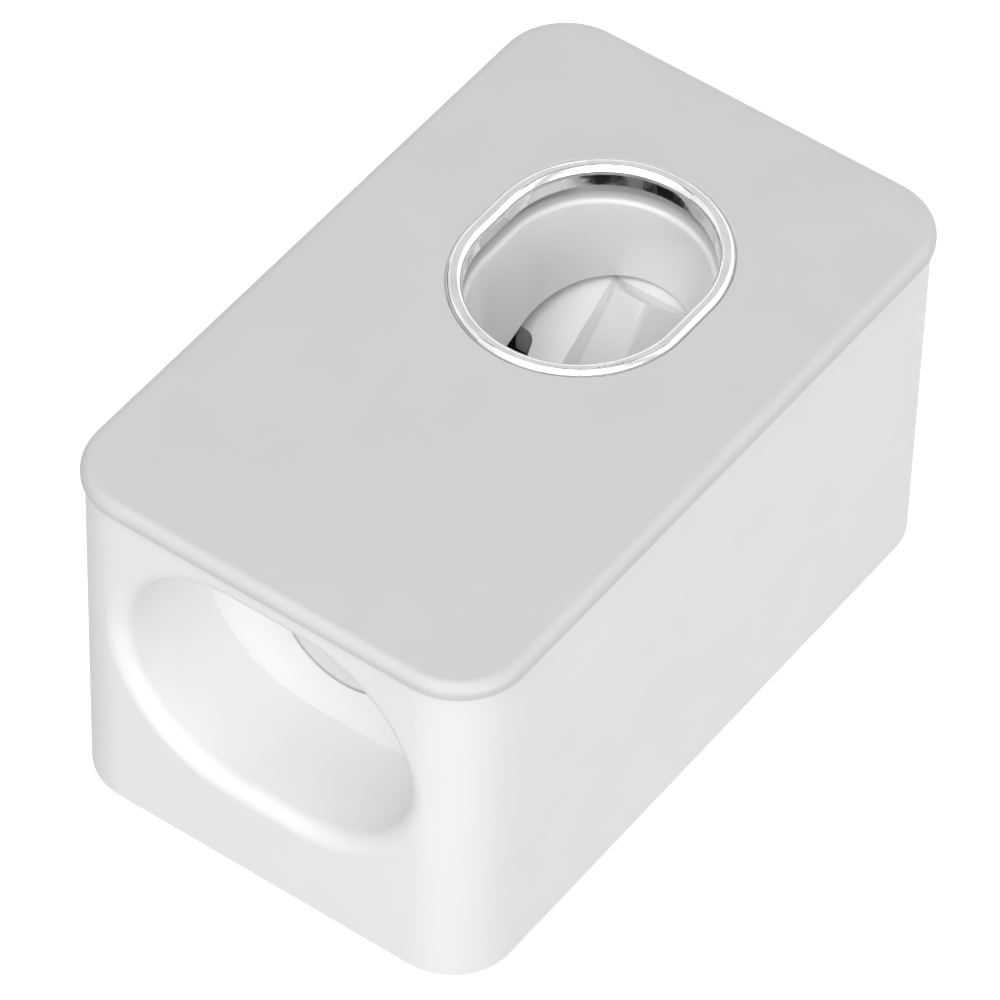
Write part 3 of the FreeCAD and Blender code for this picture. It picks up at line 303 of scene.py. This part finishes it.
materials = {
    "housing_white": moulded(
        "housing_plastic", dark=(0.89, 0.89, 0.895), light=(0.91, 0.91, 0.91),
        roughness=(0.42, 0.50), grain=0.35 * MM, grain_height=0.001 * MM),
    "panel_grey": moulded(
        "panel_plastic", dark=(0.64, 0.64, 0.64), light=(0.66, 0.66, 0.66),
        roughness=(0.35, 0.42), grain=0.22 * MM, grain_height=0.002 * MM),
    "cup_white": moulded(
        "cup_plastic", dark=(0.89, 0.89, 0.89), light=(0.91, 0.91, 0.91),
        roughness=(0.10, 0.16), grain=0.4 * MM, grain_height=0.0005 * MM, coat=0.2),
    "frame_plastic": moulded(
        "frame_plastic", dark=(0.78, 0.75, 0.72), light=(0.82, 0.79, 0.76),
        roughness=(0.42, 0.55), grain=0.25 * MM, grain_height=0.006 * MM),
    "ring_chrome": plated("ring_chrome"),
    "pin_steel": ground_steel("pin_steel", shade=(0.5, 0.5, 0.5), density=(0.1, 1, 1)),
    "screw_steel": ground_steel("screw_steel", shade=(0.42, 0.42, 0.42), density=(1, 0.2, 1)),
    "silicone": silicone(
        "milky_silicone", dark=(0.66, 0.66, 0.64), light=(0.74, 0.74, 0.72), depth=2.0 * MM),
    "seal_white": silicone(
        "white_silicone", dark=(0.76, 0.76, 0.75), light=(0.80, 0.80, 0.79), depth=1.2 * MM),
    "foam": foam("adhesive_foam"),
}

for subpart in frame["record"]["subparts"]:
    surface = nodes[subpart["node"]].data
    surface.materials.clear()
    surface.materials.append(materials[subpart["material_slot"]])


# Pieces that the frame's solids can't show

def add_piece(name, mesh, slot):
    """A smooth piece in the scene, with its slot's material."""
    piece = bpy.data.objects.new(name, mesh)
    bpy.context.scene.collection.objects.link(piece)
    mesh.materials.clear()
    mesh.materials.append(materials[slot])
    for face in mesh.polygons:
        face.use_smooth = True
    return piece


def wire_mesh(name, points, radius):
    """A round wire along the points, with closed ends."""
    curve = bpy.data.curves.new(name, "CURVE")
    curve.dimensions = "3D"
    curve.bevel_depth = radius
    curve.bevel_resolution = WIRE_RESOLUTION
    curve.use_fill_caps = True
    spline = curve.splines.new("POLY")
    spline.points.add(len(points) - 1)
    for spot, point in zip(spline.points, points):
        spot.co = (*point, 1)
    holder = bpy.data.objects.new(name, curve)
    bpy.context.scene.collection.objects.link(holder)
    bpy.context.view_layer.update()
    finished = holder.evaluated_get(bpy.context.evaluated_depsgraph_get())
    mesh = bpy.data.meshes.new_from_object(finished)
    bpy.data.objects.remove(holder)
    bpy.data.curves.remove(curve)
    return mesh


def make_spring():
    """Torsion spring whose coil winds up between the frame and the lever."""
    low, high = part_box("return_spring")
    pivot = Vector(joints["lever_push"]["pos_m"])
    sweep = 2 * math.pi * SPRING_TURNS + PADDLE_TILT
    share = SPRING_LEG / (sweep * SPRING_RADIUS)
    # each leg leans out of the coil by the same share of the coil's length
    coil = (high.x - low.x - SPRING_WIRE) / (1 + 2 * share)
    start_x = low.x + SPRING_WIRE / 2 + share * coil
    steps = COIL_STEPS * SPRING_TURNS

    def place(step):
        turn = sweep * step / steps - PADDLE_TILT
        across = Vector((0, math.cos(turn), math.sin(turn))) * SPRING_RADIUS
        return Vector((start_x + coil * step / steps, pivot.y, pivot.z)) + across

    points = [place(step) for step in range(steps + 1)]
    first = (points[1] - points[0]).normalized()
    last = (points[-1] - points[-2]).normalized()
    line = [points[0] - first * SPRING_LEG, *points, points[-1] + last * SPRING_LEG]
    piece = add_piece("spring_wire", wire_mesh("spring_wire", line, SPRING_WIRE / 2), "pin_steel")
    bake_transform(piece)
    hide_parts("return_spring")


def tube_mesh(name, centre, outer, inner, low, high):
    """A plain length of tube with a wall."""
    form = bmesh.new()
    rings = []
    for radius, height in ((outer, low), (outer, high), (inner, high), (inner, low)):
        ring = []
        for side in range(TUBE_SIDES):
            turn = 2 * math.pi * side / TUBE_SIDES
            x = centre.x + radius * math.cos(turn)
            y = centre.y + radius * math.sin(turn)
            ring.append(form.verts.new((x, y, height)))
        rings.append(ring)
    for ring, after in zip(rings, rings[1:] + rings[:1]):
        for side in range(TUBE_SIDES):
            beside = (side + 1) % TUBE_SIDES
            form.faces.new((ring[side], ring[beside], after[beside], after[side]))
    bmesh.ops.recalc_face_normals(form, faces=form.faces)
    mesh = bpy.data.meshes.new(name)
    form.to_mesh(mesh)
    form.free()
    return mesh


def make_pump_tube():
    """Pump tube in three lengths: two held by the clamps, and a waist that the lever flattens."""
    low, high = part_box("pump_tube")
    centre = (low + high) / 2
    outer = (high.x - low.x) / 2
    inner = outer - TUBE_WALL
    lengths = {
        "pump_tube_low": (low.z, low.z + CLAMPED_LENGTH),
        "pump_tube_waist": (low.z + CLAMPED_LENGTH, high.z - CLAMPED_LENGTH),
        "pump_tube_high": (high.z - CLAMPED_LENGTH, high.z),
    }
    for name, (start, end) in lengths.items():
        piece = add_piece(name, tube_mesh(name, centre, outer, inner, start, end), "silicone")
        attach(piece, "dispenser")
        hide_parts("pump_tube")
        if name == "pump_tube_waist":
            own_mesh(piece)


def pad_outline(width, height):
    """Points in X and Z round the foam pad, about its middle, with round corners."""
    half_x = width / 2 - FOAM_CORNER
    half_z = height / 2 - FOAM_CORNER
    centres = [(half_x, half_z), (-half_x, half_z), (-half_x, -half_z), (half_x, -half_z)]
    outline = []
    for quarter, (x, z) in enumerate(centres):
        for step in range(CORNER_STEPS + 1):
            turn = math.pi / 2 * (quarter + step / CORNER_STEPS)
            outline.append((x + FOAM_CORNER * math.cos(turn), z + FOAM_CORNER * math.sin(turn)))
    return outline


def is_rim(edge):
    """Whether the edge lies in the pad's front or back face."""
    start, end = edge.verts
    return abs(start.co.y - end.co.y) < LEVEL_TOLERANCE


def make_foam_pad():
    """Foam pad with soft edges."""
    low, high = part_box("adhesive_pad")
    form = bmesh.new()
    outline = pad_outline(high.x - low.x, high.z - low.z)
    face = form.faces.new([form.verts.new((x, high.y, z)) for x, z in outline])
    raised = bmesh.ops.extrude_face_region(form, geom=[face])
    moved = [item for item in raised["geom"] if isinstance(item, bmesh.types.BMVert)]
    bmesh.ops.translate(form, verts=moved, vec=(0, low.y - high.y, 0))
    bmesh.ops.recalc_face_normals(form, faces=form.faces)
    rims = [edge for edge in form.edges if is_rim(edge)]
    bmesh.ops.bevel(form, geom=rims, offset=FOAM_ROUND, segments=RIM_STEPS,
                    profile=ROUND_PROFILE, affect="EDGES")
    mesh = bpy.data.meshes.new("foam_pad")
    form.to_mesh(mesh)
    form.free()
    piece = add_piece("foam_pad", mesh, "foam")
    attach(piece, "wall_mount")
    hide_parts("adhesive_pad")


make_spring()
make_pump_tube()
make_foam_pad()


# Floor, light and camera

def seen_directly(tree, strength):
    """The strength on rays that show the background: from the camera, mirrors and glass."""
    rays = tree.nodes.new("ShaderNodeLightPath")
    total = rays.outputs["Is Camera Ray"]
    for kind in ("Is Glossy Ray", "Is Transmission Ray"):
        larger = tree.nodes.new("ShaderNodeMath")
        larger.operation = "MAXIMUM"
        tree.links.new(total, larger.inputs[0])
        tree.links.new(rays.outputs[kind], larger.inputs[1])
        total = larger.outputs["Value"]
    scaled = tree.nodes.new("ShaderNodeMath")
    scaled.operation = "MULTIPLY"
    scaled.inputs[1].default_value = strength
    tree.links.new(total, scaled.inputs[0])
    return scaled.outputs["Value"]


def matt_paint(name, shade, glow=0.0):
    """Matt paint, with a glow on the rays that show the background."""
    paint = bpy.data.materials.new(name)
    paint.use_nodes = True
    tree = paint.node_tree
    tree.nodes.clear()
    output = tree.nodes.new("ShaderNodeOutputMaterial")
    matt = tree.nodes.new("ShaderNodeBsdfDiffuse")
    matt.inputs["Color"].default_value = (shade, shade, shade, 1)
    lit = tree.nodes.new("ShaderNodeEmission")
    tree.links.new(seen_directly(tree, glow), lit.inputs["Strength"])
    both = tree.nodes.new("ShaderNodeAddShader")
    tree.links.new(matt.outputs["BSDF"], both.inputs[0])
    tree.links.new(lit.outputs["Emission"], both.inputs[1])
    tree.links.new(both.outputs["Shader"], output.inputs["Surface"])
    return paint


def stage_plane(name, corners, paint):
    """A flat sheet that belongs to the studio."""
    mesh = bpy.data.meshes.new(name)
    mesh.from_pydata(corners, [], [(0, 1, 2, 3)])
    mesh.materials.append(paint)
    sheet = bpy.data.objects.new(name, mesh)
    bpy.context.scene.collection.objects.link(sheet)
    return sheet


def make_floor():
    """Pale floor below the part, with a glow that shows it white."""
    signs = ((-1, -1), (1, -1), (1, 1), (-1, 1))
    corners = [(x * FLOOR_REACH, y * FLOOR_REACH, FLOOR_LEVEL) for x, y in signs]
    stage_plane("floor", corners, matt_paint("floor_paper", FLOOR_SHADE, FLOOR_GLOW))


def make_world():
    """Even surroundings that look white and give a dim light."""
    world = bpy.data.worlds.new("studio")
    bpy.context.scene.world = world
    world.use_nodes = True
    tree = world.node_tree
    tree.nodes.clear()
    output = tree.nodes.new("ShaderNodeOutputWorld")
    ground = tree.nodes.new("ShaderNodeBackground")
    ground.inputs["Color"].default_value = (1, 1, 1, 1)
    lifted = tree.nodes.new("ShaderNodeMath")
    lifted.operation = "ADD"
    lifted.inputs[1].default_value = AMBIENT
    tree.links.new(seen_directly(tree, 1 - AMBIENT), lifted.inputs[0])
    tree.links.new(lifted.outputs["Value"], ground.inputs["Strength"])
    tree.links.new(ground.outputs["Background"], output.inputs["Surface"])


def softbox(name, place, width, watts):
    """A square soft lamp that faces the object."""
    lamp = bpy.data.lights.new(name, "AREA")
    lamp.size = width
    lamp.energy = watts
    holder = bpy.data.objects.new(name, lamp)
    holder.location = place
    holder.rotation_euler = (-Vector(place)).to_track_quat("-Z", "Y").to_euler()
    bpy.context.scene.collection.objects.link(holder)


def reflection_card(name, place, along, width, length, shade):
    """A card that faces the ring and only shows in bright metal and gloss."""
    centre = Vector(place)
    ring = sum(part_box("chrome_ring"), Vector()) / 2
    facing = (ring - centre).normalized()
    across = Vector(along).cross(facing).normalized() * width / 2
    reach = Vector(along).normalized() * length / 2
    low = centre - reach
    high = centre + reach
    corners = [low - across, low + across, high + across, high - across]
    card = stage_plane(name, corners, matt_paint(f"{name}_paint", shade))
    card.visible_camera = False
    card.visible_diffuse = False
    card.visible_transmission = False
    card.visible_shadow = False


def make_camera():
    """The photograph's camera, at its fitted place."""
    lens = bpy.data.cameras.new("photo_camera")
    lens.lens = CAMERA_LENS
    lens.sensor_width = CAMERA_SENSOR
    lens.sensor_fit = "HORIZONTAL"
    camera = bpy.data.objects.new("photo_camera", lens)
    back = -CAMERA_AHEAD.normalized()
    right = CAMERA_UP.cross(back).normalized()
    up = back.cross(right)
    turn = Matrix((right, up, back)).transposed().to_4x4()
    camera.matrix_world = Matrix.Translation(CAMERA_PLACE) @ turn
    bpy.context.scene.collection.objects.link(camera)
    bpy.context.scene.camera = camera


make_floor()
make_world()
for lamp_name, (place, width, watts) in LAMPS.items():
    softbox(lamp_name, place, width, watts)
for card_name, (place, along, width, length, shade) in CARDS.items():
    reflection_card(card_name, place, along, width, length, shade)
make_camera()
bpy.context.scene.view_settings.view_transform = "Standard"
